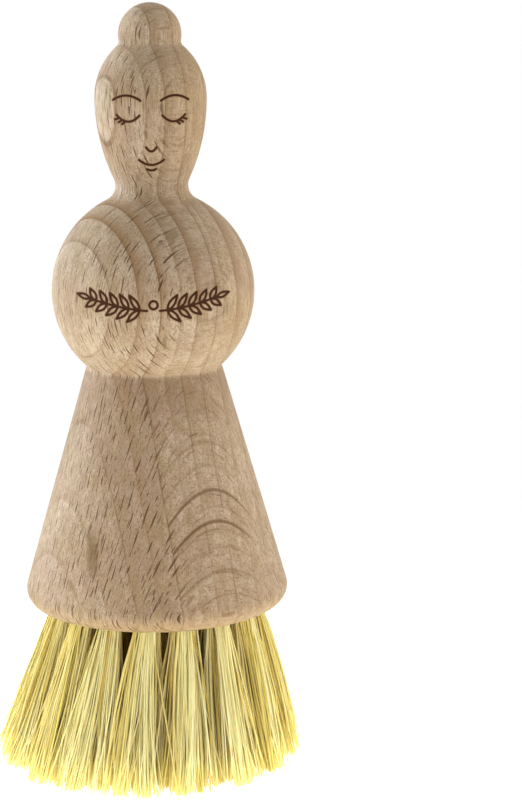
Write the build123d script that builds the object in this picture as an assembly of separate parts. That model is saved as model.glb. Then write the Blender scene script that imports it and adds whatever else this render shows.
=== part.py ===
from build123d import *
import os
from itertools import pairwise
from math import cos, pi, radians, sin, sqrt, tan

# A round palm brush for pots, turned from one piece of beech and stood on its fibre tips.
# The handle is a wide conical skirt, a ball that fills the palm, a slim head and a bun on top.
# Thirty tufts of stiff plant fibre are set in splayed blind holes in the skirt's underside.
# Each tuft is folded over a wire staple whose legs are driven into the wood past the hole.
# Lengths are in millimetres. The origin is at the middle of the trimmed fibre tips, and +Z is up.

# Handle, from the underside up: a straight skirt, a ball, a long head and a bun
skirt_foot_radius = 26.0
skirt_height = 46.2
waist_radius = 12.7
ball_radius = 19.0
neck_radius = 5.55
jaw_rise = 17.9
head_radius = 10.4
crown_rise = 9.9
bun_radius = 5.85
bun_seat_share = 0.958

# Handle: what is rounded where two shapes of its outline meet
foot_round = 3.2
waist_round = 0.6
neck_round = 3.1
bun_round = 1.0

# Blind holes for the tufts
hole_radius = 2.3
hole_depth = 10.0

# Outer ring of holes: where they open on the underside, and how far they splay
outer_ring_radius = 17.6
outer_ring_count = 16
outer_splay_degrees = 12.5
outer_first_degrees = -96.2

# Middle and inner rings of holes: what share they have of the outer ring's radius and splay
middle_ring_share = 0.636
middle_ring_count = 10
middle_first_degrees = -90.0
inner_ring_share = 0.273
inner_ring_count = 4
inner_first_degrees = -45.0

# Tufts: the fibre that stands clear of the wood, and the packed root in the hole
fibre_length = 30.0
root_clearance = 0.08
root_recess = 0.8

# Strands, each a lock of fibres: the room they leave, and how much of it they fill
strand_bury = 0.6
strand_wall_gap = 0.2
tuft_tip_gap = 0.25
strand_fill_share = 0.9

# Strands of one tuft: how many stand on each of its evenly spaced circles, from the middle out
strand_circles = (1, 5, 10)
strand_sides = 4

# Wire staples
wire_radius = 0.3
wire_bend_radius = 0.7
wire_clearance = 0.03
staple_wall_gap = 0.5
staple_above_hole_end = 1.8
staple_bite = 3.0

# How far a drill runs out past the wood's face
overrun = 1.0

# Each ring's share of the outer one, its count of holes and the angle of its first hole
rings = {
    "outer": (1, outer_ring_count, outer_first_degrees),
    "middle": (middle_ring_share, middle_ring_count, middle_first_degrees),
    "inner": (inner_ring_share, inner_ring_count, inner_first_degrees),
}

# Heights and radii of the handle's outline, each from the one below it
underside = fibre_length
waist_height = underside + skirt_height
ball_height = waist_height + sqrt(ball_radius**2 - waist_radius**2)
neck_height = ball_height + sqrt(ball_radius**2 - neck_radius**2)
head_height = neck_height + jaw_rise
bun_seat_height = head_height + crown_rise
bun_seat_radius = bun_seat_share * bun_radius
bun_height = bun_seat_height + sqrt(bun_radius**2 - bun_seat_radius**2)


def swell_radius(narrow, wide, rise):
    """The radius of the arc that swells from a narrow radius to a wide one and is upright there."""
    return ((wide - narrow) ** 2 + rise**2) / (2 * (wide - narrow))


def outline_arc(centre, radius, start, end):
    """The stretch of a circle between two points of the outline, bulging away from the axis."""
    height = (start[1] + end[1]) / 2
    middle = (centre[0] + sqrt(radius**2 - (height - centre[1]) ** 2), height)
    return ThreePointArc(start, middle, end)


def handle_section():
    """Half of the handle's section, from the axis out, with its corners rounded."""
    base = (0, underside)
    foot = (skirt_foot_radius, underside)
    waist = (waist_radius, waist_height)
    neck = (neck_radius, neck_height)
    widest = (head_radius, head_height)
    bun_seat = (bun_seat_radius, bun_seat_height)
    top = (0, bun_height + bun_radius)
    jaw = swell_radius(neck_radius, head_radius, jaw_rise)
    crown = swell_radius(bun_seat_radius, head_radius, crown_rise)
    outline = [
        Line(base, foot),
        Line(foot, waist),
        outline_arc((0, ball_height), ball_radius, waist, neck),
        outline_arc((head_radius - jaw, head_height), jaw, neck, widest),
        outline_arc((head_radius - crown, head_height), crown, widest, bun_seat),
        outline_arc((0, bun_height), bun_radius, bun_seat, top),
        Line(top, base),
    ]
    section = make_face(outline)
    rounds = (
        (foot, foot_round),
        (waist, waist_round),
        (neck, neck_round),
        (bun_seat, bun_round),
    )
    for corner, radius in rounds:
        vertex = section.vertices().sort_by_distance(corner)[0]
        section = fillet(vertex, radius)
    return section


def hole_place(share):
    """A ring's radius where its holes open, and how far the holes splay, in degrees."""
    return share * outer_ring_radius, share * outer_splay_degrees


def hole_frame(share):
    """The frame of the hole at a ring's +X side: Z goes up the hole and X lies along the ring."""
    radius, splay = hole_place(share)
    up_the_hole = (-sin(radians(splay)), 0, cos(radians(splay)))
    return Plane(origin=(radius, 0, underside), x_dir=(0, 1, 0), z_dir=up_the_hole)


def hole_cutter(share):
    """The space that the drill clears, from outside the wood to the hole's flat end."""
    below = overrun + hole_radius * tan(radians(hole_place(share)[1]))
    upright = (Align.CENTER, Align.CENTER, Align.MIN)
    drill = Cylinder(hole_radius, hole_depth + below, align=upright)
    return hole_frame(share) * Pos(0, 0, -below) * drill


def staple(share, swell=0):
    """A wire bent to a U: its crown lies across the hole and its legs run on into the wood."""
    crown_height = hole_depth - staple_above_hole_end
    leg_end = hole_depth + staple_bite + swell
    half_width = hole_radius - staple_wall_gap - wire_radius
    path = FilletPolyline(
        (-half_width, 0, leg_end),
        (-half_width, 0, crown_height),
        (half_width, 0, crown_height),
        (half_width, 0, leg_end),
        radius=wire_bend_radius,
    )
    start = Plane(origin=path @ 0, z_dir=path % 0)
    return hole_frame(share) * sweep(start * Circle(wire_radius + swell), path=path)


def tip_ring_radius(share):
    """Where a ring's hole axes meet the plane of the trimmed tips."""
    radius, splay = hole_place(share)
    return radius + fibre_length * tan(radians(splay))


def tip_room():
    """The radius that a tuft may fan out to, so that its tips stay clear of its neighbours'."""
    tip_radii = [tip_ring_radius(share) for share, _, _ in rings.values()]
    between_rings = [outer - inner for outer, inner in pairwise(tip_radii)]
    along_rings = [
        2 * radius * sin(pi / count) for radius, (_, count, _) in zip(tip_radii, rings.values())
    ]
    return (min(between_rings + along_rings) - tuft_tip_gap) / 2


def circle_step(room):
    """The step between a tuft's circles of strands, so that the outer strands just fill the room."""
    return room / (len(strand_circles) - 1 + strand_fill_share / 2)


def strand_end(centre, step, turn):
    """A level end of a strand, as the corners of a polygon that fills its share of a step."""
    corner_radius = step * strand_fill_share / 2
    corners = []
    for side in range(strand_sides):
        angle = turn + 2 * pi * side / strand_sides
        corners.append(centre + Vector(cos(angle), sin(angle), 0) * corner_radius)
    return corners


def strand(high, low):
    """A straight strand between its two ends."""
    faces = [Face(Wire.make_polygon(high)), Face(Wire.make_polygon(low))]
    for side in range(strand_sides):
        corners = [high[side - 1], high[side], low[side], low[side - 1]]
        faces.append(Face(Wire.make_polygon(corners)))
    return Solid(Shell(faces))


def tuft(share):
    """A tuft: a packed root that fills the hole round its staple, and the strands that fan out."""
    frame = hole_frame(share)
    root_radius = hole_radius - root_clearance
    root_length = hole_depth - root_clearance - root_recess
    upright = (Align.CENTER, Align.CENTER, Align.MIN)
    root = frame * Pos(0, 0, root_recess) * Cylinder(root_radius, root_length, align=upright)
    root -= staple(share, wire_clearance)

    high_step = circle_step(hole_radius - strand_wall_gap)
    low_step = circle_step(tip_room())
    tip_middle = Vector(tip_ring_radius(share), 0, 0)
    strands = []
    for circle, count in enumerate(strand_circles):
        for number in range(count):
            turn = 2 * pi * number / count
            outward = Vector(cos(turn), sin(turn), 0)
            # in the hole's frame, whose X lies along Y and whose Y points at the brush's axis
            in_hole = Vector(outward.Y, -outward.X, 0) * high_step * circle
            start = frame.from_local_coords(in_hole + Vector(0, 0, root_recess + strand_bury))
            end = tip_middle + outward * low_step * circle
            strands.append(strand(strand_end(start, high_step, turn), strand_end(end, low_step, turn)))
    return root.fuse(*strands)


os.makedirs("parts", exist_ok=True)

# Tufts and staples: each ring's first is made at +X, and the others are turned copies of it
drilled = []
strand_total = 0
for name, (share, count, first_degrees) in rings.items():
    ring_hole = hole_cutter(share)
    ring_channel = staple(share, wire_clearance)
    ring_staple = staple(share)
    ring_tuft = tuft(share)
    staples = []
    for number in range(count):
        place = Rot(0, 0, first_degrees + 360 * number / count)
        drilled += [place * ring_hole, place * ring_channel]
        staples.append(place * ring_staple)
        export_step(place * ring_tuft, f"parts/tuft_{name}_{number + 1:02d}.step")
    export_step(Compound(staples), f"parts/staples_{name}_ring.step")
    strand_total += count * sum(strand_circles)

# Handle: the turned blank, with its holes drilled and the staples' legs driven in
blank = revolve(Plane.XZ * handle_section(), Axis.Z)
handle = blank - drilled
export_step(handle, "parts/handle.step")

print("strands", strand_total, "overall height", round(bun_height + bun_radius, 2))
print("fan-out of a tuft at its tips, radius", round(tip_room(), 3))
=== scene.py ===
"""A round palm brush: raw turned beech with burnt-in lines, and tufts of straw-coloured fibre."""

import math
from types import SimpleNamespace

import bmesh
import bpy
import numpy as np
from mathutils import Matrix, Vector
from mathutils.geometry import delaunay_2d_cdt


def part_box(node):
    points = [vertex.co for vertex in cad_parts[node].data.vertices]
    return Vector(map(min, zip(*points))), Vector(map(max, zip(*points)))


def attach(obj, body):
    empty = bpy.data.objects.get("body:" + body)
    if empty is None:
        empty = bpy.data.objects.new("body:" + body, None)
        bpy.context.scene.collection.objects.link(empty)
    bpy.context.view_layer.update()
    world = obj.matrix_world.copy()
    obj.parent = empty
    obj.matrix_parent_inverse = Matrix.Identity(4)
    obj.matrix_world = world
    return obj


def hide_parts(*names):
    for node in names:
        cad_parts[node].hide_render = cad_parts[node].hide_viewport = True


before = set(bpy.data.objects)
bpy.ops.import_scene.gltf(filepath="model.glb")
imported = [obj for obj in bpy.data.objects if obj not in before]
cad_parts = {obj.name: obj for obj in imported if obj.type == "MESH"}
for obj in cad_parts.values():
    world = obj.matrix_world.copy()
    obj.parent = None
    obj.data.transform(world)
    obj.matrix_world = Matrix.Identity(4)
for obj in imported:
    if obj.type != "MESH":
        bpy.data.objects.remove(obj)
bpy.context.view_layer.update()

# All sizes below are in millimetres, and meshes are scaled to metres as they are made
MM = 0.001

# Handle: the turned outline, from the underside up
foot_radius = 26.0
skirt_height = 46.2
waist_radius = 12.7
ball_radius = 19.0
neck_radius = 5.55
jaw_rise = 17.9
head_radius = 10.4
crown_rise = 9.9
bun_radius = 5.85
bun_seat_share = 0.958
foot_round = 3.2
waist_round = 0.6
neck_round = 3.1
bun_round = 1.0

# Heights of the outline, each from the one below it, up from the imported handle's underside
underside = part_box("handle")[0].z / MM
waist_height = underside + skirt_height
ball_height = waist_height + math.sqrt(ball_radius**2 - waist_radius**2)
neck_height = ball_height + math.sqrt(ball_radius**2 - neck_radius**2)
head_height = neck_height + jaw_rise
bun_seat_height = head_height + crown_rise
bun_seat_radius = bun_seat_share * bun_radius
bun_height = bun_seat_height + math.sqrt(bun_radius**2 - bun_seat_radius**2)

# Handle's mesh: how finely its grid, its outline and its holes' mouths are divided
handle_rows = 281
handle_columns = 340
outline_step = 0.02
waist_step = 0.01
slant_points = 800
mouth_points = 28

# Handle's mesh: the front, where columns crowd, what counts as inside a mouth, and how it is finished
front_degrees = 44
front_soft_degrees = 12
inside_mouth_share = 0.96
weld_distance = 0.001
sharp_degrees = 50

# Burnt lines: their grooves, and the gap that stands for no line near by
line_width = 0.42
groove_depth = 0.07
groove_half_width = 0.62 * line_width
far_gap = 9.0

# Holes, and each ring's share of the outer one, its count of holes and its first angle in degrees
hole_radius = 2.3
hole_depth = 10.0
outer_ring_radius = 17.6
outer_splay = math.radians(12.5)
rings = {
    "outer": (1.0, 16, -96.2),
    "middle": (0.636, 10, -90.0),
    "inner": (0.273, 4, -45.0),
}

# Fibres: three-sided stalks from inside the holes to the tips
fibres_in_tuft = 390
locks_in_tuft = 18
fibre_radius = 0.152
stalk_sides = 3
station_shares = np.array([0, 0.09, 0.3, 0.55, 0.8, 1.0])
root_wall_gap = 0.1
root_depth = 1.6

# Tips: how far a tuft fans out, how the whole brush leans, and how its edge is trimmed
tip_fan_radius = 5.0
tips_lean = (-1.9, 0.0)
trim_edge_radius = 28.4
most_trimmed = 5.0
widest_tip = 30.6

# What differs from fibre to fibre: shares of the fibres, ranges, and how far values usually wander
thickness_shares = (0.65, 1.35)
root_turn_wander = 0.12
tip_wander = 1.25
lock_pull_shares = (0.25, 0.85)
lock_reach_shares = (0.95, 1.15)
lock_wander = 1.5
stray_share = 0.13
stray_wander = 2.2
cut_wander = 0.25
short_share = 0.04
short_by = 1.2
fibre_bow = 0.5
lock_bow = 0.45

# Tones, from 0 to 1: the least, how far locks and fibres reach above it, and the share that is brown
least_tone = 0.2
lock_tone_range = 0.45
fibre_tone_range = 0.3
brown_fibre_share = 0.06

# Each ring's most and least painted root shade, and where it sets in, as shares of the hole's radius
root_painted_shades = {"outer": (0.34, 0.0), "middle": (1.0, 0.6), "inner": (1.0, 0.6)}
shade_start_share = 0.15
shade_rise_share = 0.6

# Wood: the ways that ray planes and growth rings face, from the front to the right, and their places
ray_side = math.radians(30)
ring_side = math.radians(-60)
ray_shift = -0.7
ring_shift = -0.9
waver_reach = 1.4

# Years with a clear line: distance from the handle's axis, share of a sharp line and of a broad band
clear_years = (
    (-22.0, 0.5, 0.6),
    (-17.4, 0.6, 0.4),
    (-12.7, 0.3, 0.7),
    (-8.1, 0.35, 0.8),
    (-4.6, 0.2, 0.4),
    (-2.9, 0.7, 0.6),
    (1.4, 0.6, 0.8),
    (4.6, 0.25, 0.6),
    (8.2, 0.9, 0.9),
    (11.7, 0.3, 1.0),
    (15.4, 0.6, 0.45),
    (19.2, 0.3, 0.6),
    (22.1, 0.35, 0.5),
    (25.2, 0.35, 0.6),
)
first_year_width = 4.0
year_line_half_width = 0.2

# Rays that run on as long lines on one side of the fork year: their distances and shares
fork_distance = 8.2
long_rays = ((16.2, 0.3), (18.72, 0.8), (20.24, 0.9), (22.8, 0.45))
long_ray_half_width = 0.14

# Faint years and faint rays between the clear ones: their step, its unevenness and a seed
faint_years = (0.9, 2.0, 7.0)
faint_rays = (1.15, 2.0, 2.6)

# Ray flecks: a cell's width, depth and height, a fleck's half width, and the least share of the cell's
# height that half a fleck takes up
large_fleck = (1.15, 6.0, 5.0, 0.125, 0.2)
small_fleck = (0.85, 4.0, 2.9, 0.08, 0.17)
low_fleck = (0.5, 2.2, 0.42, 0.13, 0.25)

# Small brown marks in the front of the wood: across, up, half width, half height and strength
mineral_marks = (
    (-11.9, 43.8, 1.4, 5.4, 0.7),
    (1.9, 83.4, 0.5, 1.7, 0.6),
    (3.5, 102.4, 1.5, 1.2, 0.4),
    (-1.65, 48.7, 0.3, 0.26, 0.9),
)

# Tints of the wood, as they look on screen, from 0 to 255
beech_tint = (204, 182, 158)
pale_beech_tint = (219, 199, 172)
# painted shade on the skirt
painted_skirt_shade_tint = (158, 133, 108)
olive_tint = (180, 160, 118)
brown_patch_tint = (164, 136, 96)
pink_patch_tint = (220, 190, 170)
warm_tint = (178, 144, 94)
# painted shade on the ball's lower half
painted_ball_shade_tint = (168, 150, 118)
# painted shade on the foot's rounding
painted_foot_shade_tint = (164, 142, 96)
streak_tint = (168, 138, 112)
fibre_tint = (150, 120, 92)
hairline_tint = (124, 94, 66)
pore_tint = (130, 100, 68)
ring_band_tint = (150, 116, 78)
ring_line_tint = (112, 82, 44)
long_ray_tint = (104, 74, 38)
low_fleck_tint = (132, 98, 62)
small_fleck_tint = (106, 76, 46)
large_fleck_tint = (88, 58, 32)
mineral_tint = (120, 94, 56)
scorched_tint = (140, 92, 48)
burnt_tint = (64, 35, 14)

# Tints of the fibres and of the wire
straw_tint = (239, 220, 119)
pale_straw_tint = (252, 249, 197)
beige_tint = (240, 216, 156)
green_straw_tint = (226, 216, 122)
brown_stalk_tint = (190, 148, 76)
mottle_tint = (222, 184, 104)
# painted glow at the fibres' tips
painted_tip_glow_tint = (244, 232, 146)
# painted shade between the fibres, deep in the brush and at the roots
painted_shade_straw_tint = (204, 168, 74)
painted_deep_shade_tint = (122, 58, 20)
dark_wire_tint = (150, 148, 142)
light_wire_tint = (186, 184, 178)


# Shapes


def new_piece(name, vertices, faces, smooth=True):
    """A mesh object at the origin from an array of points in millimetres and a list of faces."""
    mesh = bpy.data.meshes.new(name)
    mesh.from_pydata((np.asarray(vertices) * MM).tolist(), [], faces)
    mesh.polygons.foreach_set("use_smooth", np.full(len(mesh.polygons), smooth))
    mesh.validate()
    mesh.update()
    piece = bpy.data.objects.new(name, mesh)
    bpy.context.scene.collection.objects.link(piece)
    return piece


def set_attribute(piece, name, values):
    """A named value at each point of a piece's mesh, which its material reads."""
    layer = piece.data.attributes.new(name, "FLOAT", "POINT")
    layer.data.foreach_set("value", np.asarray(values, dtype=np.float32))


def grid_faces(rows, columns, start=0):
    """Quads of a grid that closes on itself along its columns, as rows of four indices."""
    row, column = np.meshgrid(np.arange(rows - 1), np.arange(columns), indexing="ij")
    following = (column + 1) % columns
    low, high = row * columns, (row + 1) * columns
    quads = np.stack([low + column, low + following, high + following, high + column], axis=-1)
    return quads.reshape(-1, 4) + start


def circles_meet(centre_a, radius_a, centre_b, radius_b):
    """Where two circles cross, on the side away from the handle's axis."""
    across = np.subtract(centre_b, centre_a)
    apart = np.hypot(*across)
    along = (radius_a**2 - radius_b**2 + apart**2) / (2 * apart)
    aside = math.sqrt(radius_a**2 - along**2)
    return np.asarray(centre_a) + (along * across + aside * np.array([across[1], -across[0]])) / apart


def arc(centre, radius, start, end, step=outline_step):
    """Points along a circle from one of its points to another, the short way round."""
    first = math.atan2(start[1] - centre[1], start[0] - centre[0])
    last = math.atan2(end[1] - centre[1], end[0] - centre[0])
    turn = (last - first + math.pi) % (2 * math.pi) - math.pi
    angles = first + np.linspace(0, turn, max(3, int(abs(turn) * radius / step)))
    return np.stack([centre[0] + radius * np.cos(angles), centre[1] + radius * np.sin(angles)], 1)


def swell_radius(narrow, wide, rise):
    """The radius of the arc that swells from a narrow radius to a wide one and is upright there."""
    return ((wide - narrow) ** 2 + rise**2) / (2 * (wide - narrow))


def handle_outline():
    """The turned outline as closely spaced points of radius and height, from the underside up."""
    foot = np.array([foot_radius, underside])
    skirt = np.array([waist_radius, waist_height]) - foot
    slant = skirt / np.hypot(*skirt)
    outwards = np.array([slant[1], -slant[0]])
    ball = np.array([0.0, ball_height])
    jaw = swell_radius(neck_radius, head_radius, jaw_rise)
    crown = swell_radius(bun_seat_radius, head_radius, crown_rise)
    jaw_centre = np.array([head_radius - jaw, head_height])
    crown_centre = np.array([head_radius - crown, head_height])
    bun = np.array([0.0, bun_height])
    widest = np.array([head_radius, head_height])

    # the foot's rounding touches the underside and the skirt from inside
    foot_centre = np.array(
        [foot_radius - foot_round * (1 + outwards[1]) / outwards[0], underside + foot_round]
    )
    foot_start = foot_centre - [0, foot_round]
    foot_end = foot_centre + outwards * foot_round
    # the waist's rounding rolls up the outside of the skirt until it touches the ball
    rail = foot + outwards * waist_round - ball
    reach = ball_radius + waist_round
    along = -(rail @ slant) - math.sqrt((rail @ slant) ** 2 - rail @ rail + reach**2)
    waist_centre = ball + rail + slant * along
    waist_start = waist_centre - outwards * waist_round
    waist_end = ball + (waist_centre - ball) * ball_radius / reach
    # the roundings above nestle between two circles
    neck_centre = circles_meet(ball, ball_radius + neck_round, jaw_centre, jaw + neck_round)
    neck_start = ball + (neck_centre - ball) * ball_radius / (ball_radius + neck_round)
    neck_end = jaw_centre + (neck_centre - jaw_centre) * jaw / (jaw + neck_round)
    seat_centre = circles_meet(crown_centre, crown + bun_round, bun, bun_radius + bun_round)
    seat_start = crown_centre + (seat_centre - crown_centre) * crown / (crown + bun_round)
    seat_end = bun + (seat_centre - bun) * bun_radius / (bun_radius + bun_round)
    top = bun + [0, bun_radius]

    return np.concatenate(
        [
            arc(foot_centre, foot_round, foot_start, foot_end),
            np.linspace(foot_end, waist_start, slant_points)[1:-1],
            arc(waist_centre, waist_round, waist_start, waist_end, waist_step),
            arc(ball, ball_radius, waist_end, neck_start)[1:],
            arc(neck_centre, neck_round, neck_start, neck_end)[1:],
            arc(jaw_centre, jaw, neck_end, widest)[1:],
            arc(crown_centre, crown, widest, seat_start)[1:],
            arc(seat_centre, bun_round, seat_start, seat_end)[1:],
            arc(bun, bun_radius, seat_end, top)[1:],
        ]
    )


# Burnt-in drawing: strokes are lists of points (across, up), in millimetres, seen from the front


def bow(middle, half_width, rise, points=24):
    """A shallow parabola through three points: two level ends, and a middle that rises or sags."""
    along = np.linspace(-1, 1, points)
    return np.stack([middle[0] + along * half_width, middle[1] + rise * (1 - along**2)], 1)


def leaf(base, direction, length, width, points=14):
    """A pointed leaf, as its two edges from the base to the tip.

    At a share s of the way along, an edge is half the width times sin(pi s^0.85) from the middle.
    """
    along = np.linspace(0, 1, points)
    ahead = np.array([math.cos(direction), math.sin(direction)])
    aside = np.array([-ahead[1], ahead[0]])
    middle = np.asarray(base) + np.outer(along * length, ahead)
    swell = np.outer(np.sin(math.pi * along**0.85) * width / 2, aside)
    return [middle + swell, middle - swell]


def circle(centre, radius, points=24):
    """A closed circle."""
    turn = np.linspace(0, 2 * math.pi, points)
    return np.asarray(centre) + radius * np.stack([np.cos(turn), np.sin(turn)], 1)


def mirrored(strokes):
    """The strokes and their mirror images across the middle."""
    return strokes + [stroke * [-1, 1] for stroke in strokes]


def face_strokes():
    """A calm doll's face on plain proportions: eyes half-way up the head, and five eyes across it."""
    chin = neck_height + neck_round
    eye_height = (chin + bun_seat_height) / 2
    eye_width = 2 * head_radius / 5
    nose_height = (eye_height + chin) / 2
    mouth_height = nose_height - (nose_height - chin) / 3
    lid = bow((eye_width, eye_height), half_width=eye_width / 2, rise=-1.15)
    # lashes stand on the outer half of the lid and turn from downwards to outwards along it
    lash_shares, lash_length, inmost_lash, lash_turn = (0.62, 0.76, 0.9), 0.85, -78, 62
    lashes = []
    for share in lash_shares:
        root = lid[int(share * (len(lid) - 1))]
        away = math.radians(inmost_lash + lash_turn * share)
        tip = root + lash_length * np.array([math.cos(away), math.sin(away)])
        lashes.append(np.array([root, tip]))
    brow = bow((eye_width * 1.05, eye_height + 2.7), half_width=eye_width * 0.6, rise=0.9)
    nose = bow((0, nose_height + 0.3), half_width=0.95, rise=-0.75)
    mouth = bow((0, mouth_height), half_width=2.3, rise=-0.95)
    lip = bow((0, mouth_height - 1.75), half_width=0.8, rise=-0.25)
    return mirrored([lid, brow] + lashes) + [nose, mouth, lip]


def sprig_strokes():
    """A traditional pair of leafy sprigs that meet under a round berry, on the front of the ball.

    A stem rises by a power of its share of the half width. Pairs of leaves shorten towards its end.
    """
    half_width, rise, bend = 11.6, 1.9, 1.6
    stem_low = ball_height - 0.9
    stem_start_share, first_pair_share, last_pair_share = 0.1, 0.22, 0.9
    leaf_pairs, leaf_length, leaf_shortening, leaf_width = 5, 3.2, 0.22, 0.95
    leaf_angle = math.radians(50)
    along = np.linspace(stem_start_share, 1, 40)
    stem = np.stack([along * half_width, stem_low + rise * along**bend], 1)
    strokes = [stem]
    for number, place in enumerate(np.linspace(first_pair_share, last_pair_share, leaf_pairs)):
        at = np.array([place * half_width, stem_low + rise * place**bend])
        slope = math.atan2(rise * bend * place ** (bend - 1), half_width)
        length = leaf_length - leaf_shortening * number
        for side in (1, -1):
            strokes += leaf(at, slope + side * leaf_angle, length, leaf_width)
    strokes += leaf(stem[-1], slope, length=2.3, width=0.85)
    return mirrored(strokes) + [circle((0, stem_low + 1.1), radius=0.75)]


def distance_to_strokes(across, up, strokes):
    """How far each point is from the nearest stroke's middle line, or the far gap if none is near."""
    nearest = np.full(across.shape, far_gap)
    points = np.stack([across, up], -1)
    margin = 2
    for stroke in strokes:
        low, high = stroke.min(0) - margin, stroke.max(0) + margin
        near = np.all((points > low) & (points < high), axis=-1)
        here = points[near]
        best = nearest[near]
        for start, end in zip(stroke[:-1], stroke[1:]):
            ahead = end - start
            share = np.clip((here - start) @ ahead / (ahead @ ahead), 0, 1)
            gap = here - start - share[:, None] * ahead
            best = np.minimum(best, np.hypot(gap[:, 0], gap[:, 1]))
        nearest[near] = best
    return nearest


# Handle


def hole_axis(share, turn):
    """A hole's mouth on the underside, the way up the hole and the two ways across it."""
    around = math.radians(turn)
    out = np.array([math.cos(around), math.sin(around), 0])
    splay = share * outer_splay
    up_hole = np.array([0, 0, math.cos(splay)]) - out * math.sin(splay)
    along_ring = np.array([-out[1], out[0], 0])
    mouth = out * share * outer_ring_radius + [0, 0, underside]
    return mouth, up_hole, along_ring, np.cross(up_hole, along_ring)


def all_holes():
    """Every hole's ring, its number in the ring, the ring's share and the hole's angle in degrees."""
    for ring, (share, count, first) in rings.items():
        for number in range(count):
            yield ring, number + 1, share, first + 360 * number / count


def bump_between(value, low, high, soft):
    """A mask that is 1 between two values and falls off evenly outside them."""
    outside = np.maximum(low - value, value - high)
    return np.clip(1 - outside / soft, 0, 1)


def spread_by_density(positions, density, count):
    """Places along a line, as many as asked, packed closely where the density is high."""
    steps = np.diff(positions) * (density[1:] + density[:-1]) / 2
    total = np.concatenate([[0], np.cumsum(steps)])
    return np.interp(np.linspace(0, total[-1], count), total, positions)


def handle_grid_lines(face, sprig):
    """The rows of the handle's grid, as radius and height, and its columns, as angles from the front.

    Rows crowd together at the drawing and at the small roundings, and columns at the front. The last
    row is left out, because a single point stands for it, and so is the last column, because it is the
    first again.
    """
    outline = handle_outline()
    length = np.concatenate([[0], np.cumsum(np.hypot(*np.diff(outline, axis=0).T))])
    height = outline[:, 1]
    face_heights = np.concatenate(face)[:, 1]
    sprig_heights = np.concatenate(sprig)[:, 1]
    # how much more crowded than the rest, from which height to which, and how softly it ends
    crowded = (
        (6.2, face_heights.min(), face_heights.max(), 1.5),
        (5.2, sprig_heights.min(), sprig_heights.max(), 1.5),
        (5.0, waist_height - 0.6, waist_height + 0.6, 0.8),
        (1.2, underside, underside + 1.6 * foot_round, 2.0),
        (1.0, neck_height - 1, neck_height + 4, 2.0),
        (1.2, bun_seat_height - 1, bun_seat_height + 9, 2.0),
    )
    density = 0.8
    for extra, low, high, soft in crowded:
        density = density + extra * bump_between(height, low, high, soft)
    places = spread_by_density(length, density, handle_rows + 1)[:-1]
    rows = np.stack([np.interp(places, length, outline[:, k]) for k in (0, 1)], 1)

    turns = np.linspace(-math.pi, math.pi, 4001)
    front = bump_between(np.degrees(turns), -front_degrees, front_degrees, front_soft_degrees)
    return rows, spread_by_density(turns, 0.28 + 1.6 * front, handle_columns + 1)[:-1]


def grooved_surface(rows, columns, strokes):
    """The turned surface's points by row and column, and how far each is from a burnt line.

    A point is at its row's radius times the sine and minus the cosine of its column's angle. A groove's
    depth across its line is a parabola, and it is cut along the surface's normal.
    """
    radius, level = rows[:, :1], rows[:, 1:]
    points = np.stack(
        [radius * np.sin(columns), -radius * np.cos(columns), level + 0 * columns], axis=-1
    )
    # the grooves follow the drawing as it would be burnt from straight in front
    gap = distance_to_strokes(points[..., 0], points[..., 2], strokes)
    gap = np.where(points[..., 1] < 0, gap, far_gap)
    depth = groove_depth * np.clip(1 - (gap / groove_half_width) ** 2, 0, 1)
    slope = np.gradient(rows, axis=0)
    slope /= np.hypot(slope[:, 0], slope[:, 1])[:, None]
    normal = np.stack(
        [
            slope[:, 1:] * np.sin(columns),
            -slope[:, 1:] * np.cos(columns),
            -slope[:, :1] + 0 * columns,
        ],
        axis=-1,
    )
    return points - normal * depth[..., None], gap


def hole_mouth(share, turn):
    """The edge of a hole on the underside, and the way up the hole.

    The drill's circle is slid along the hole until each of its points is level with the underside.
    """
    around = np.linspace(0, 2 * math.pi, mouth_points, endpoint=False)
    mouth, up_hole, along_ring, across = hole_axis(share, turn)
    edge = hole_radius * (np.outer(np.cos(around), along_ring) + np.outer(np.sin(around), across))
    return mouth + edge - np.outer(edge[:, 2] / up_hole[2], up_hole), up_hole


def underside_face(rim, mouths):
    """The flat face between the turned rim and the holes' mouths, as points and triangles."""
    loops = [rim] + [edge[:, :2] for edge, _ in mouths]
    edges, used = [], 0
    for loop in loops:
        order = np.arange(len(loop)) + used
        edges.append(np.stack([order, np.roll(order, -1)], 1))
        used += len(loop)
    corners = [Vector(p) for p in np.concatenate(loops)]
    edges = np.concatenate(edges).tolist()
    flat, _, triangles, _, _, _ = delaunay_2d_cdt(corners, edges, [], 0, 1e-7)
    flat = np.array([tuple(p) for p in flat])
    triangles = np.array(triangles)
    # triangles outside the rim or inside a mouth go
    middle = flat[triangles].mean(1)
    keep = np.hypot(*middle.T) < np.hypot(*rim.T).max()
    for edge, _ in mouths:
        keep &= np.hypot(*(middle - edge.mean(0)[:2]).T) > inside_mouth_share * hole_radius
    return np.column_stack([flat, np.full(len(flat), underside)]), triangles[keep][:, ::-1]


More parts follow.
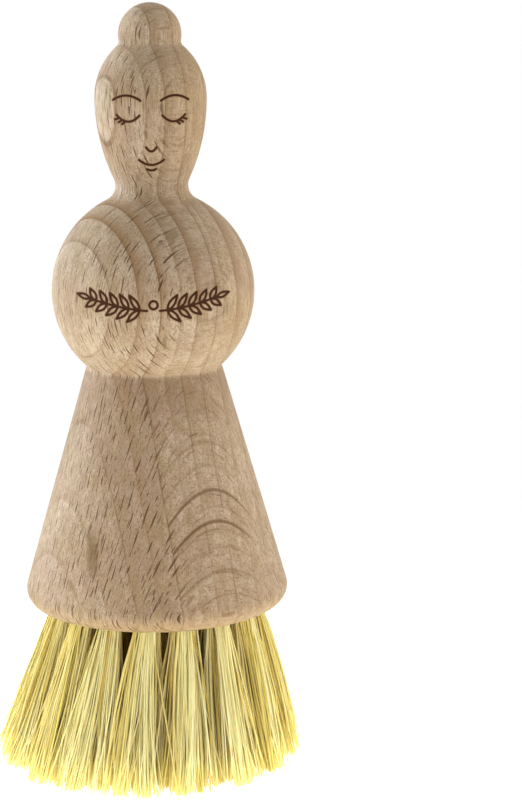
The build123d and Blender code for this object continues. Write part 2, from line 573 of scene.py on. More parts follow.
def make_handle():
    """The turned handle: its outline swept round the axis, its burnt grooves and its drilled underside."""
    face, sprig = face_strokes(), sprig_strokes()
    rows, columns = handle_grid_lines(face, sprig)
    points, gap = grooved_surface(rows, columns, face + sprig)
    vertices = [points.reshape(-1, 3), np.array([[0, 0, bun_height + bun_radius]])]
    faces = grid_faces(handle_rows, handle_columns).tolist()
    top = handle_rows * handle_columns
    last_row = np.arange(handle_columns) + top - handle_columns
    fan = np.stack([last_row, np.roll(last_row, -1), np.full(handle_columns, top)], 1)
    faces += fan.tolist()

    mouths = [hole_mouth(share, turn) for _, _, share, turn in all_holes()]
    flat, triangles = underside_face(points[0, :, :2], mouths)
    vertices.append(flat)
    faces += (triangles + top + 1).tolist()

    # the wall and the flat end of every hole
    base = top + 1 + len(flat)
    for edge, up_hole in mouths:
        end = edge + np.outer(hole_depth - (edge - edge.mean(0)) @ up_hole, up_hole)
        vertices += [edge, end]
        faces += grid_faces(2, mouth_points, base)[:, ::-1].tolist()
        faces.append((np.arange(mouth_points) + base + mouth_points)[::-1].tolist())
        base += 2 * mouth_points

    handle = new_piece("handle_beech", np.concatenate(vertices), faces)
    gaps = np.full(len(handle.data.vertices), far_gap)
    gaps[: gap.size] = gap.reshape(-1)
    set_attribute(handle, "line_gap", gaps)
    weld_and_sharpen(handle)
    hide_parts("handle")
    return handle


def weld_and_sharpen(piece):
    """Merges points that coincide, turns faces outwards, and marks edges that turn a lot as sharp."""
    sheet = bmesh.new()
    sheet.from_mesh(piece.data)
    bmesh.ops.remove_doubles(sheet, verts=sheet.verts, dist=weld_distance * MM)
    bmesh.ops.recalc_face_normals(sheet, faces=sheet.faces)
    for edge in sheet.edges:
        edge.smooth = edge.calc_face_angle(0) < math.radians(sharp_degrees)
    sheet.to_mesh(piece.data)
    sheet.free()


# Tufts


def fibre_roots(random):
    """Where fibres stand in their hole, which they fill as seeds fill a sunflower, and their locks.

    Fibre n of N is at a share sqrt((n + 1/2) / N) of the reach, and n golden angles round. A fibre is
    in the lock of the nearest of a few leading fibres.
    """
    order = np.arange(fibres_in_tuft)
    reach = (hole_radius - fibre_radius - root_wall_gap) * np.sqrt((order + 0.5) / fibres_in_tuft)
    turn = order * math.pi * (3 - math.sqrt(5)) + random.normal(0, root_turn_wander, fibres_in_tuft)
    roots = np.stack([reach * np.cos(turn), reach * np.sin(turn)], 1)
    leaders = random.choice(fibres_in_tuft, locks_in_tuft, replace=False)
    lock = np.argmin(((roots[:, None] - roots[leaders]) ** 2).sum(-1), axis=1)
    return roots, leaders, lock


def fibre_tips(roots, leaders, lock, random):
    """Where the tips lie, across the way that the tuft points.

    A tip is its root's place, fanned out and moved a little at random, and then drawn part of the way
    to its lock's own tip. A few strays leave their own way.
    """
    fan = tip_fan_radius / hole_radius
    tips = roots * fan + random.normal(0, tip_wander, (fibres_in_tuft, 2))
    pull = random.uniform(*lock_pull_shares, locks_in_tuft)[lock][:, None]
    lock_tips = roots[leaders] * fan * random.uniform(*lock_reach_shares, (locks_in_tuft, 1))
    lock_tips = lock_tips + random.normal(0, lock_wander, (locks_in_tuft, 2))
    tips = tips * (1 - pull) + lock_tips[lock] * pull
    stray = random.random(fibres_in_tuft) < stray_share
    tips[stray] += random.normal(0, stray_wander, (stray.sum(), 2))
    return tips


def trimmed(root, tip, random):
    """The tips, cut a little short at random, and shorter round the edge of the brush."""
    short = np.abs(random.normal(0, cut_wander, fibres_in_tuft))
    short[random.random(fibres_in_tuft) < short_share] += short_by
    short += np.clip(np.hypot(tip[:, 0], tip[:, 1]) - trim_edge_radius, 0, most_trimmed)
    # no tip strays past the brush's widest
    tip[:, :2] *= np.minimum(1, widest_tip / np.hypot(tip[:, 0], tip[:, 1]))[:, None]
    tip[:, :2] += tips_lean
    return tip + (root - tip) * (short / root[:, 2])[:, None]


def stalk_points(root, tip, lock, random):
    """Every stalk's points, as rings of three at its stations, thinner towards the tip.

    A stalk is straight but for a slight bow: 4 s (1 - s) times its sideways reach at a share s.
    """
    bows = random.normal(0, fibre_bow, (fibres_in_tuft, 2))
    bows = bows + random.normal(0, lock_bow, (locks_in_tuft, 2))[lock]
    sway = np.column_stack([bows, np.zeros(fibres_in_tuft)])
    spine = root[:, None] + (tip - root)[:, None] * station_shares[None, :, None]
    spine = spine + sway[:, None] * (4 * station_shares * (1 - station_shares))[None, :, None]
    thick = fibre_radius * random.uniform(*thickness_shares, fibres_in_tuft)[:, None]
    thick = thick * np.interp(station_shares, [0, 0.8, 1], [1, 0.95, 0.8])[None]
    first_corner = random.uniform(0, 2 * math.pi, fibres_in_tuft)[:, None]
    corner = first_corner + np.arange(stalk_sides) * 2 * math.pi / stalk_sides
    ring_points = np.stack([np.cos(corner), np.sin(corner), 0 * corner], -1)
    return (spine[:, :, None] + ring_points[:, None] * thick[..., None, None]).reshape(-1, 3)


def stalk_faces():
    """Every stalk's sides and two ends, the same for each but for where its points start."""
    points_in_stalk = stalk_sides * len(station_shares)
    starts = (np.arange(fibres_in_tuft) * points_in_stalk)[:, None, None]
    sides = grid_faces(len(station_shares), stalk_sides)[:, ::-1] + starts
    around = np.arange(stalk_sides)
    ends = np.stack([around, points_in_stalk - 1 - around]) + starts
    return sides.reshape(-1, 4).tolist() + ends.reshape(-1, stalk_sides).tolist()


def fibre_tones(lock, random):
    """Each lock's and each fibre's own tone, and 0 for a few brown fibres."""
    tone = least_tone + lock_tone_range * random.uniform(0, 1, locks_in_tuft)[lock]
    tone = tone + fibre_tone_range * random.uniform(0, 1, fibres_in_tuft)
    tone[random.random(fibres_in_tuft) < brown_fibre_share] = 0.0
    return tone


def root_painted_shade(roots, ring):
    """How much painted shade, brown and dark, each fibre has at its stations: more, the deeper it lies in
    from the tuft's outer side.

    The middle and inner rings have it all through. Every fibre has most at its root.
    """
    sideways, inwards = (roots / hole_radius).T
    depth = inwards + np.sqrt(1 - sideways**2)
    most, least = root_painted_shades[ring]
    deep_shade = np.clip((depth - shade_start_share) / shade_rise_share, least, 1) * most
    return deep_shade[:, None] * np.interp(station_shares, [0, 0.3, 0.8], [1, 0.85, 0.5])


def make_tuft(ring, number, share, turn, random):
    """A tuft of fine fibres, each a thin three-sided stalk that leaves the hole and fans out."""
    mouth, up_hole, along_ring, across = hole_axis(share, turn)
    roots, leaders, lock = fibre_roots(random)
    tips = fibre_tips(roots, leaders, lock, random)
    root = mouth + up_hole * root_depth
    root = root + roots[:, :1] * along_ring + roots[:, 1:] * across
    tip_centre = mouth - up_hole * (underside / up_hole[2])
    flat_across = np.cross([0, 0, 1], along_ring)
    tip = tip_centre + tips[:, :1] * along_ring + tips[:, 1:] * flat_across
    tip = trimmed(root, tip, random)
    tuft = new_piece(
        f"fibres_{ring}_{number:02d}", stalk_points(root, tip, lock, random), stalk_faces()
    )
    # painted shade deep in the tuft and at the roots
    deep_shade = root_painted_shade(roots, ring)
    tone = fibre_tones(lock, random)[:, None] + 0 * deep_shade
    set_attribute(tuft, "tone", np.repeat(tone.reshape(-1), stalk_sides))
    set_attribute(tuft, "root_shade", np.repeat(deep_shade.reshape(-1), stalk_sides))
    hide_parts(f"tuft_{ring}_{number:02d}")
    return tuft


# Nodes that the materials are made of


def new_material(name):
    """A material with its node tree and its shader."""
    material = bpy.data.materials.new(name)
    material.use_nodes = True
    return material, material.node_tree, material.node_tree.nodes["Principled BSDF"]


def fill_inputs(tree, node, inputs):
    """Sets a node's inputs; each may be a value or another node's output."""
    for key, value in inputs.items():
        if isinstance(value, bpy.types.NodeSocket):
            tree.links.new(value, node.inputs[key])
        else:
            node.inputs[key].default_value = value


def add_node(tree, kind, inputs=None, **settings):
    """A node with its settings and inputs filled in."""
    node = tree.nodes.new(kind)
    for key, value in settings.items():
        setattr(node, key, value)
    fill_inputs(tree, node, inputs or {})
    return node


def math_node(tree, operation, *values, clamp=False):
    """The output of a Math node."""
    node = add_node(tree, "ShaderNodeMath", dict(enumerate(values)), operation=operation)
    node.use_clamp = clamp
    return node.outputs[0]


def plus(tree, first, second):
    """The sum of two values."""
    return math_node(tree, "ADD", first, second)


def minus(tree, first, second):
    """The first value less the second."""
    return math_node(tree, "SUBTRACT", first, second)


def times(tree, first, second):
    """The product of two values."""
    return math_node(tree, "MULTIPLY", first, second)


def largest(tree, first, second):
    """The larger of two values."""
    return math_node(tree, "MAXIMUM", first, second)


def remap(tree, value, low, high, to_low=0.0, to_high=1.0, smooth=True):
    """A value's share of a range, moved into another range, smoothly at its ends or evenly."""
    node = add_node(
        tree,
        "ShaderNodeMapRange",
        {"Value": value, 1: low, 2: high, 3: to_low, 4: to_high},
        interpolation_type="SMOOTHSTEP" if smooth else "LINEAR",
    )
    return node.outputs[0]


def srgb(red, green, blue):
    """A colour given as it looks on screen, 0 to 255, in the linear values that a socket takes."""
    levels = np.array([red, green, blue]) / 255
    linear = np.where(levels <= 0.04045, levels / 12.92, ((levels + 0.055) / 1.055) ** 2.4)
    return (*linear.tolist(), 1.0)


def mix_colour(tree, share, first, second):
    """Two colours mixed by a share. Each is a tint as it looks on screen or a node's output."""
    first, second = (srgb(*c) if isinstance(c, tuple) else c for c in (first, second))
    node = add_node(tree, "ShaderNodeMix", {0: share, 6: first, 7: second}, data_type="RGBA")
    return node.outputs[2]


def noise(tree, vector, scale, detail=2.0, roughness=0.5):
    """A noise texture's value."""
    inputs = {"Vector": vector, "Scale": scale, "Detail": detail, "Roughness": roughness}
    return add_node(tree, "ShaderNodeTexNoise", inputs).outputs[0]


def noise_along(tree, value, scale, detail=0.0):
    """A noise texture's value along a single line."""
    inputs = {"W": value, "Scale": scale, "Detail": detail}
    return add_node(tree, "ShaderNodeTexNoise", inputs, noise_dimensions="1D").outputs[0]


def three_noises(tree, vector, scale, detail):
    """Three noises of one scale that don't follow each other."""
    inputs = {"Vector": vector, "Scale": scale, "Detail": detail}
    texture = add_node(tree, "ShaderNodeTexNoise", inputs)
    return add_node(tree, "ShaderNodeSeparateColor", {0: texture.outputs[1]}).outputs


def place_in_millimetres(tree):
    """The point that is shaded, in the brush's own frame."""
    coords = add_node(tree, "ShaderNodeTexCoord").outputs["Object"]
    scale = {0: coords, 1: (1 / MM,) * 3}
    return add_node(tree, "ShaderNodeVectorMath", scale, operation="MULTIPLY").outputs[0]


def drawn_out(tree, place, share):
    """A place with its height scaled by a share, which draws a pattern out along the height."""
    scale = {0: place, 1: (1.0, 1.0, share)}
    return add_node(tree, "ShaderNodeVectorMath", scale, operation="MULTIPLY").outputs[0]


def line_at(tree, distance, place, half_width):
    """A soft line where a distance has a given value."""
    away = math_node(tree, "ABSOLUTE", minus(tree, distance, place))
    return remap(tree, away, 0.25 * half_width, half_width, 1.0, 0.0)


def new_group(name, inputs, outputs):
    """An empty shader node group with named float sockets."""
    group = bpy.data.node_groups.new(name, "ShaderNodeTree")
    for socket in inputs:
        group.interface.new_socket(socket, in_out="INPUT", socket_type="NodeSocketFloat")
    for socket in outputs:
        group.interface.new_socket(socket, in_out="OUTPUT", socket_type="NodeSocketFloat")
    given = group.nodes.new("NodeGroupInput").outputs
    return group, given, group.nodes.new("NodeGroupOutput").inputs


def use_group(tree, group, *values):
    """The outputs of a placed node group with its inputs filled in, in their order."""
    node = tree.nodes.new("ShaderNodeGroup")
    node.node_tree = group
    fill_inputs(tree, node, dict(enumerate(values)))
    return node.outputs


# Wood


def ray_group():
    """Rays cut by the surface: upright spindles, one in each cell of a mosaic in the tree's own frame.

    A cell's spindle is thin across the rays and pointed at both ends: its half width at a height h from
    its middle is the full half width times 1 - (h / its half length)^2. Along the rays it has no end
    inside its cell, so a face cut across the rays shows spindles, and one cut along them shows flakes.
    """
    places = ("Across Rays", "Along Rays", "Height")
    sizes = ("Cell Width", "Cell Depth", "Cell Height")
    group, given, result = new_group(
        "wood_rays", places + sizes + ("Half Width", "Least Reach"), ["Mask"]
    )
    shares = [
        math_node(group, "DIVIDE", given[place], given[size]) for place, size in zip(places, sizes)
    ]
    place = add_node(group, "ShaderNodeCombineXYZ", dict(enumerate(shares))).outputs[0]
    cells = add_node(
        group, "ShaderNodeTexVoronoi", {"Vector": place, "Scale": 1.0, "Randomness": 0.9}
    ).outputs
    offset = add_node(
        group, "ShaderNodeVectorMath", {0: place, 1: cells["Position"]}, operation="SUBTRACT"
    )
    across, _, up = add_node(group, "ShaderNodeSeparateXYZ", {0: offset.outputs[0]}).outputs
    chance = add_node(group, "ShaderNodeSeparateColor", {0: cells["Color"]}).outputs
    reach = remap(group, chance[0], 0.0, 1.0, given["Least Reach"], 0.5, smooth=False)
    share = math_node(group, "DIVIDE", up, reach)
    taper = minus(group, 1.0, times(group, share, share))
    room = times(group, taper, given["Half Width"])
    aside = times(group, math_node(group, "ABSOLUTE", across), given["Cell Width"])
    soft = times(group, given["Half Width"], 0.5)
    mask = math_node(group, "DIVIDE", minus(group, room, aside), soft, clamp=True)
    present = remap(group, chance[1], 0.1, 0.62, 0.15, 1.0)
    group.links.new(times(group, mask, present), result["Mask"])
    return group


def ring_group():
    """Growth rings: lines at uneven steps of a distance, each dark on one side and soft on the other.

    The distance over the step, plus slow noise of itself, counts the years. A year's share s gives a
    sharp line, s^12, and a broad band, s^2.5. The whole part of the count picks the line's strength.
    """
    group, given, result = new_group(
        "growth_rings", ("Distance", "Step", "Unevenness", "Pick"), ("Line", "Band")
    )
    year = math_node(group, "DIVIDE", given["Distance"], given["Step"])
    uneven = noise_along(group, year, 0.35, 1.0)
    year = math_node(group, "MULTIPLY_ADD", uneven, given["Unevenness"], year)
    share = math_node(group, "FRACT", year)
    # the line ends within a small part of the next year, so that it has no jagged edge
    ends = remap(group, share, 0.97, 1.0, 1.0, 0.0)
    pick = math_node(group, "MULTIPLY_ADD", math_node(group, "FLOOR", year), 3.7, given["Pick"])
    strength = remap(group, noise_along(group, pick, 1.0), 0.3, 0.68, 0.1, 1.0)
    for name, power in (("Line", 12.0), ("Band", 2.5)):
        dark = times(group, math_node(group, "POWER", share, power), ends)
        group.links.new(times(group, dark, strength), result[name])
    return group


def wood_places(tree):
    """Where the shaded point is: its place in the brush, and its distances in the tree's own frame.

    The tree's frame is upright. Its rays run towards the front left, and its rings lie square to them.
    A slow waver keeps both from being flat sheets.
    """
    place = place_in_millimetres(tree)
    right, back, height = add_node(tree, "ShaderNodeSeparateXYZ", {0: place}).outputs
    waver = three_noises(tree, place, 0.03, 1.0)
    distances = []
    for facing, drift, shift in ((ray_side, waver[0], ray_shift), (ring_side, waver[1], ring_shift)):
        sideways = times(tree, right, math.sin(facing))
        forward = times(tree, back, -math.cos(facing))
        straight = plus(tree, plus(tree, sideways, forward), shift)
        distances.append(math_node(tree, "MULTIPLY_ADD", drift, waver_reach, straight))
    across_rays, along_rays = distances
    # towards the head the years lie a little further out
    creep = remap(tree, height, ball_height, neck_height + 6, 0.0, -1.1)
    along_rays = plus(tree, along_rays, creep)
    return SimpleNamespace(
        place=place,
        right=right,
        back=back,
        height=height,
        across_rays=across_rays,
        along_rays=along_rays,
        from_fork=minus(tree, along_rays, fork_distance),
    )


def growth_lines(tree, at, rings_group):
    """The sharp lines and the broad bands of the clear years, with faint lines between them.

    A band is a power of the share of its year that is past, so the wood darkens all through a year and
    starts afresh past its line.
    """
    ring_line, ring_band = 0.0, 0.0
    before = clear_years[0][0] - first_year_width
    for distance, sharp, broad in clear_years:
        from_year = minus(tree, at.along_rays, distance)
        line = times(tree, line_at(tree, from_year, 0.0, year_line_half_width), sharp)
        ring_line = largest(tree, ring_line, line)
        early = remap(tree, from_year, before - distance, 0.0, smooth=False)
        early = times(tree, math_node(tree, "POWER", early, 2.2), broad)
        late = remap(tree, from_year, 0.0, 0.25, 1.0, 0.0)
        ring_band = largest(tree, ring_band, times(tree, early, late))
        before = distance
    faint_line = use_group(tree, rings_group, at.along_rays, *faint_years)["Line"]
    ring_line = largest(tree, ring_line, times(tree, faint_line, 0.3))
    # the lines come and go along the grain
    patchy = remap(tree, noise(tree, at.place, 0.35), 0.38, 0.6, 0.25, 1.0)
    ring_line = times(tree, ring_line, patchy)
    # the bands are weakest low on the skirt and low on the ball, and strongest on the ball's top
    clear = plus(
        tree,
        remap(tree, at.height, underside + 15, waist_height, 1.0, 1.15),
        remap(tree, at.height, ball_height - 14, ball_height + 12, -0.5, 0.25),
    )
    clear = plus(tree, clear, remap(tree, at.height, neck_height - 4, neck_height + 4, 0.0, -0.5))
    return ring_line, times(tree, ring_band, clear)


def long_ray_lines(tree, at, rings_group):
    """Rays that show as long lines, on one side of the fork year, and the soft bands beside them.

    The lines bend a little: a parabola is added to the distance across the rays.
    """
    reach = times(
        tree,
        remap(tree, at.from_fork, -0.15, 0.15, 1.0, 0.0),
        remap(tree, at.along_rays, -11.0, -6.0),
    )
    reach = times(tree, reach, remap(tree, at.height, underside + 1.5, underside + 4))
    on_ball = remap(tree, at.height, waist_height - 8, waist_height + 2)
    reach = times(tree, reach, math_node(tree, "MULTIPLY_ADD", on_ball, -0.7, 1.0))
    aside = minus(tree, at.along_rays, 1.5)
    bend = times(tree, times(tree, aside, aside), 0.006)
    bent = plus(tree, at.across_rays, bend)
    faint = use_group(tree, rings_group, bent, *faint_rays)
    lines = times(tree, faint["Line"], 0.6)
    for distance, share in long_rays:
        line = line_at(tree, bent, distance, long_ray_half_width)
        lines = largest(tree, lines, times(tree, line, share))
    lines = times(tree, lines, reach)
    lines = times(tree, lines, remap(tree, at.from_fork, -8.0, -2.0, 0.88, 1.0))
    return lines, times(tree, faint["Band"], reach)


def ray_flecks(tree, at, rays_group):
    """Large, small and low flecks, where rays come to the surface.

    The large and small ones are strong where the cut faces along the rays: on the left, further to the
    right higher up, and again on the far side. The low broad ones show as ticks where it runs along them.
    """
    large, small, low = (
        use_group(tree, rays_group, at.across_rays, at.along_rays, at.height, *sizes)["Mask"]
        for sizes in (large_fleck, small_fleck, low_fleck)
    )
    left_side = remap(tree, at.height, waist_height, neck_height, 0.0, 5.5, smooth=False)
    left_side = remap(tree, plus(tree, at.from_fork, left_side), -3.5, 1.0)
    far_side = remap(tree, at.along_rays, -9.0, -16.0, 0.0, 0.8)
    facing = largest(tree, left_side, far_side)
    large = times(tree, large, math_node(tree, "MULTIPLY_ADD", facing, 0.9, 0.1))
    small = times(tree, small, math_node(tree, "MULTIPLY_ADD", facing, 0.6, 0.4))
    return large, small, low


def mineral_stain(tree, at, fibre):
    """Small upright brown marks on the front: ovals with soft, streaky edges."""
    stain = 0.0
    for across, up, half_width, half_height, strength in mineral_marks:
        aside = math_node(tree, "DIVIDE", minus(tree, at.right, across), half_width)
        above = math_node(tree, "DIVIDE", minus(tree, at.height, up), half_height)
        reach = math_node(tree, "MULTIPLY_ADD", above, above, times(tree, aside, aside))
        reach = math_node(tree, "MULTIPLY_ADD", minus(tree, fibre, 0.5), 2.0, reach)
        stain = largest(tree, stain, remap(tree, reach, 0.1, 1.0, strength, 0.0))
    return times(tree, stain, math_node(tree, "LESS_THAN", at.back, 0.0))


def painted_skirt_shade(tree, at):
    """How much darker the skirt is painted than the ball, as painted shade: least on the right, most under
    the waist where the ball overhangs, and more near the foot.
    """
    shade = remap(tree, at.from_fork, -1.0, 1.0, 0.5, 1.1)
    shade = times(tree, shade, remap(tree, at.from_fork, 6.0, 12.0, 1.0, 0.4))
    # painted shade under the waist, where the ball overhangs the skirt
    under_waist = remap(tree, at.height, waist_height - 17, waist_height - 3, 0.0, 1.35)
    shade = largest(tree, shade, under_waist)
    # painted shade near the foot, against the table's light from below
    shade = plus(tree, shade, remap(tree, at.height, underside + 20, underside + 5, 0.0, 0.25))
    return times(tree, shade, remap(tree, at.height, waist_height, waist_height - 1))


def warm_right_side(tree, at):
    """How much yellower the head and the ball are towards the right."""
    head = times(
        tree,
        remap(tree, at.height, neck_height - 4, neck_height + 6, 0.0, 0.5),
        remap(tree, at.right, -3.0, 9.0),
    )
    ball = times(
        tree,
        remap(tree, at.height, waist_height - 1, waist_height, 0.0, 0.35),
        remap(tree, at.right, 6.0, 17.0),
    )
    return largest(tree, head, ball)


def painted_ball_shade(tree, at):
    """How much darker the ball's lower half is painted, as painted shade against the table's light from
    below.
    """
    return times(
        tree,
        remap(tree, at.height, ball_height + 2, ball_height - 12, 0.0, 0.3),
        remap(tree, at.height, waist_height - 1, waist_height),
    )


def burnt_in(tree, colour):
    """A colour with the burnt lines and the soft scorch beside them, and how burnt each place is."""
    gap = add_node(tree, "ShaderNodeAttribute", attribute_name="line_gap").outputs["Fac"]
    scorched = remap(tree, gap, line_width * 0.4, line_width * 1.1, 0.6, 0.0)
    burnt = remap(tree, gap, line_width * 0.42, line_width * 0.58, 1.0, 0.0)
    colour = mix_colour(tree, scorched, colour, scorched_tint)
    return mix_colour(tree, burnt, colour, burnt_tint), burnt


def raw_beech():
    """Unoiled beech: pinkish tan with dark ray flecks, growth rings, fine fibre and burnt lines.

    The layers are laid over each other in their order, each a share of a tint. The skirt's, the ball's
    lower half's and the foot's layers are painted shade.
    """
    material, tree, shader = new_material("raw_beech")
    at = wood_places(tree)
    rings_group = ring_group()
    ring_line, ring_band = growth_lines(tree, at, rings_group)
    long_ray, side_band = long_ray_lines(tree, at, rings_group)
    ring_band = largest(tree, ring_band, times(tree, side_band, 0.4))
    large_flecks, small_flecks, low_flecks = ray_flecks(tree, at, ray_group())

    # fine fibre and pores along the grain, and slow changes of tone
    along_grain = drawn_out(tree, at.place, 0.06)
    fibre = noise(tree, along_grain, 4.2, 3.0, 0.6)
    streak = noise(tree, along_grain, 0.6)
    hairline = noise(tree, along_grain, 9.0, 2.0, 0.55)
    pores = noise(tree, drawn_out(tree, at.place, 0.09), 3.6, 1.0, 0.6)
    cloud = noise(tree, at.place, 0.11, 3.0)
    olive = noise(tree, at.place, 0.17)
    # brown and pinkish patches, a little longer than they are wide
    brown_patch, pink_patch, _ = three_noises(tree, drawn_out(tree, at.place, 0.5), 0.55, 2.0)
    # the skirt's grain is stronger than the ball's
    grain = remap(tree, at.height, waist_height, waist_height - 1, 0.7, 1.0)

    colour = mix_colour(tree, remap(tree, cloud, 0.3, 0.7), beech_tint, pale_beech_tint)
    layers = (
        # painted shade on the skirt: under the waist, near the foot and left of the fork year
        (times(tree, painted_skirt_shade(tree, at), 0.62), painted_skirt_shade_tint),
        (remap(tree, olive, 0.45, 0.65, 0.0, 0.4), olive_tint),
        (times(tree, remap(tree, brown_patch, 0.45, 0.7, 0.0, 0.5), grain), brown_patch_tint),
        (times(tree, remap(tree, pink_patch, 0.5, 0.7, 0.0, 0.36), grain), pink_patch_tint),
        (warm_right_side(tree, at), warm_tint),
        # painted shade on the ball's lower half
        (painted_ball_shade(tree, at), painted_ball_shade_tint),
        # painted shade on the foot's rounding, darkest at the underside
        (remap(tree, at.height, underside + 5, underside + 0.5, 0.0, 0.6), painted_foot_shade_tint),
        (remap(tree, streak, 0.42, 0.75, 0.0, 0.45), streak_tint),
        (remap(tree, fibre, 0.35, 0.72, 0.0, 0.46), fibre_tint),
        (times(tree, remap(tree, hairline, 0.54, 0.66, 0.0, 0.8), grain), hairline_tint),
        (remap(tree, pores, 0.55, 0.74, 0.0, 0.5), pore_tint),
        (times(tree, ring_band, 0.74), ring_band_tint),
        (times(tree, ring_line, 0.7), ring_line_tint),
        (long_ray, long_ray_tint),
        (times(tree, low_flecks, 0.42), low_fleck_tint),
        (times(tree, small_flecks, grain), small_fleck_tint),
        (times(tree, large_flecks, 0.95), large_fleck_tint),
        (mineral_stain(tree, at, fibre), mineral_tint),
    )
    for share, tint in layers:
        colour = mix_colour(tree, share, colour, tint)
    colour, burnt = burnt_in(tree, colour)
    rough = largest(tree, remap(tree, fibre, 0.3, 0.7, 0.56, 0.72), times(tree, burnt, 0.95))

    # fibre stands up, and large flecks and ring lines lie lower
    relief = times(tree, fibre, 0.35)
    relief = minus(tree, relief, times(tree, large_flecks, 0.6))
    relief = minus(tree, relief, times(tree, ring_line, 0.3))
    bump = add_node(
        tree, "ShaderNodeBump", {"Height": relief, "Strength": 0.4, "Distance": 0.06 * MM}
    )
    tree.links.new(colour, shader.inputs["Base Color"])
    tree.links.new(rough, shader.inputs["Roughness"])
    tree.links.new(bump.outputs[0], shader.inputs["Normal"])
    shader.inputs["Specular IOR Level"].default_value = 0.3
    return material


# Fibre and wire


def plant_fibre():
    """Stiff straw-coloured fibre: each stalk has its own tone and hue, and a painted glow lightens the
    tips.

    Stalks are painted browner and darker towards their roots and deep in the brush, as painted shade
    between the fibres.
    """
    material, tree, shader = new_material("plant_fibre")
    place = place_in_millimetres(tree)
    height = add_node(tree, "ShaderNodeSeparateXYZ", {0: place}).outputs[2]
    mottle = noise(tree, drawn_out(tree, place, 0.15), 1.6)
    tone = add_node(tree, "ShaderNodeAttribute", attribute_name="tone").outputs["Fac"]
    # painted shade between the fibres, kept on each fibre
    deep_shade = add_node(tree, "ShaderNodeAttribute", attribute_name="root_shade").outputs["Fac"]
    # stalks of one tone still differ in hue, from green through straw to beige
    hue = noise_along(tree, tone, 23.0)
    colour = mix_colour(tree, remap(tree, tone, 0.2, 0.85), straw_tint, pale_straw_tint)
    layers = (
        (remap(tree, hue, 0.5, 0.68, 0.0, 0.35), beige_tint),
        (remap(tree, hue, 0.5, 0.32, 0.0, 0.2), green_straw_tint),
        (remap(tree, tone, 0.05, 0.15, 0.6, 0.0), brown_stalk_tint),
        (remap(tree, mottle, 0.55, 0.8, 0.0, 0.5), mottle_tint),
        # painted glow: lighter and yellower near the tips
        (remap(tree, height, 0.5, 9.0, 0.5, 0.0), painted_tip_glow_tint),
        # painted shade between the fibres: browner deep in the brush, darkest at the roots
        (remap(tree, deep_shade, 0.0, 0.5, 0.0, 0.8, smooth=False), painted_shade_straw_tint),
        (remap(tree, deep_shade, 0.5, 1.0, 0.0, 0.9, smooth=False), painted_deep_shade_tint),
    )
    for share, tint in layers:
        colour = mix_colour(tree, share, colour, tint)
    tree.links.new(colour, shader.inputs["Base Color"])
    tree.links.new(remap(tree, mottle, 0.3, 0.8, 0.6, 0.8), shader.inputs["Roughness"])
    shader.inputs["Specular IOR Level"].default_value = 0.04
    return material


def staple_wire():
    """Drawn steel wire: grey, with fine specks of lighter and darker metal."""
    material, tree, shader = new_material("staple_wire")
    speck = noise(tree, place_in_millimetres(tree), 2.2, 3.0)
    colour = mix_colour(tree, remap(tree, speck, 0.3, 0.7), dark_wire_tint, light_wire_tint)
    tree.links.new(colour, shader.inputs["Base Color"])
    tree.links.new(remap(tree, speck, 0.3, 0.7, 0.28, 0.42), shader.inputs["Roughness"])
    shader.inputs["Metallic"].default_value = 1.0
    return material


# Stage: floor, light and camera


def seen_in_picture(tree):
    """1 for rays from the camera, off gloss or through glass, and 0 for rays that light the brush."""
    path = add_node(tree, "ShaderNodeLightPath").outputs
    seen = largest(tree, path["Is Camera Ray"], path["Is Glossy Ray"])
    return largest(tree, seen, path["Is Transmission Ray"])


def make_floor():
    """A light table: it glows under the brush, keeps its faint shadow and goes to white further out."""
    half = 8000.0
    corners = [(-half, -half, 0), (half, -half, 0), (half, half, 0), (-half, half, 0)]
    floor = new_piece("floor", corners, [[0, 1, 2, 3]], smooth=False)
    material, tree, shader = new_material("pale_floor")
    tree.nodes.remove(shader)
    place = place_in_millimetres(tree)
    away = add_node(tree, "ShaderNodeVectorMath", {0: place}, operation="LENGTH").outputs["Value"]
    table_light = plus(tree, remap(tree, away, 60.0, 160.0, 1.75, 0.0), 0.5)
    table_light = times(tree, table_light, remap(tree, away, 18.0, 32.0, 0.3, 1.0))
    matte = add_node(tree, "ShaderNodeBsdfDiffuse", {"Color": (0.8, 0.8, 0.8, 1)}).outputs[0]
    glow = add_node(
        tree, "ShaderNodeEmission", {"Color": (1.0, 0.98, 0.88, 1), "Strength": table_light}
    ).outputs[0]
    table = add_node(tree, "ShaderNodeAddShader", {0: matte, 1: glow}).outputs[0]
    white = add_node(tree, "ShaderNodeEmission", {"Strength": 1.0}).outputs[0]
    whitened = times(tree, seen_in_picture(tree), remap(tree, away, 30.0, 220.0, 0.55, 1.0))
    lit = add_node(tree, "ShaderNodeMixShader", {0: whitened, 1: table, 2: white}).outputs[0]
    clear = add_node(tree, "ShaderNodeBsdfTransparent").outputs[0]
    under = add_node(tree, "ShaderNodeNewGeometry").outputs["Backfacing"]
    final = add_node(tree, "ShaderNodeMixShader", {0: under, 1: lit, 2: clear}).outputs[0]
    tree.links.new(final, tree.nodes["Material Output"].inputs["Surface"])
    floor.data.materials.append(material)


def make_lamp(name, azimuth, elevation, power, tint):
    """A square soft box aimed at the middle of the brush; its azimuth is from the front, to the right."""
    distance, aim_height, width = 700.0, 70.0, 500.0
    lamp = bpy.data.lights.new(name, "AREA")
    lamp.shape = "SQUARE"
    lamp.size = width * MM
    lamp.energy = power
    lamp.color = tint
    holder = bpy.data.objects.new(name, lamp)
    bpy.context.scene.collection.objects.link(holder)
    around, rise = math.radians(azimuth), math.radians(elevation)
    towards = Vector(
        (math.sin(around) * math.cos(rise), -math.cos(around) * math.cos(rise), math.sin(rise))
    )
    holder.location = (Vector((0, 0, aim_height)) + towards * distance) * MM
    holder.rotation_euler = towards.to_track_quat("Z", "Y").to_euler()


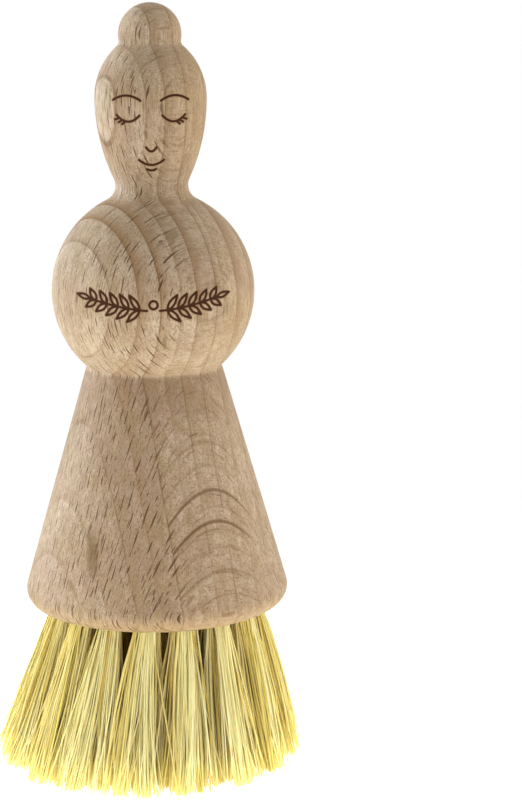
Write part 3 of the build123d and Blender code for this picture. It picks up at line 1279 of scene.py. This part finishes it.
def make_world():
    """A white surround: full white to the camera, and a weak fill for the rest."""
    world = bpy.data.worlds.new("studio")
    bpy.context.scene.world = world
    world.use_nodes = True
    tree = world.node_tree
    back = tree.nodes["Background"]
    back.inputs["Color"].default_value = (1, 1, 1, 1)
    strength = remap(tree, seen_in_picture(tree), 0.0, 1.0, 0.6, 1.0, smooth=False)
    tree.links.new(strength, back.inputs["Strength"])


def make_camera():
    """The photograph's view: from in front, a little above, with the brush left of the middle."""
    distance = 500.0
    aim_height = underside + 38.9
    elevation = math.radians(11.5)
    pan = math.radians(-2.354)
    roll = math.radians(-0.32)
    camera = bpy.data.objects.new("camera", bpy.data.cameras.new("camera"))
    bpy.context.scene.collection.objects.link(camera)
    back = Vector((0, -math.cos(elevation), math.sin(elevation)))
    place = Matrix.Translation((Vector((0, 0, aim_height)) + back * distance) * MM)
    turn = Matrix.Rotation(pan, 4, "Z") @ Matrix.Rotation(math.pi / 2 - elevation, 4, "X")
    camera.matrix_world = place @ turn @ Matrix.Rotation(roll, 4, "Z")
    camera.data.lens = 118.5
    camera.data.sensor_width = 36.0
    camera.data.sensor_fit = "AUTO"
    camera.data.clip_start = 0.01
    camera.data.clip_end = 60.0
    bpy.context.scene.camera = camera


def main():
    """Builds the pieces, finishes them, and sets the stage."""
    beech, straw, wire = raw_beech(), plant_fibre(), staple_wire()
    handle = make_handle()
    handle.data.materials.append(beech)
    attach(handle, "root")
    random = np.random.default_rng(11)
    for ring, number, share, turn in all_holes():
        tuft = make_tuft(ring, number, share, turn, random)
        tuft.data.materials.append(straw)
        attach(tuft, "root")
    for ring in rings:
        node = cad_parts[f"staples_{ring}_ring"]
        node.data.materials.clear()
        node.data.materials.append(wire)
    make_floor()
    make_world()
    make_lamp("left_box", azimuth=-112, elevation=12, power=4.6, tint=(0.86, 0.95, 1.0))
    make_lamp("right_box", azimuth=112, elevation=3, power=2.3, tint=(1.0, 0.93, 0.74))
    make_camera()
    bpy.context.scene.view_settings.view_transform = "Standard"


main()
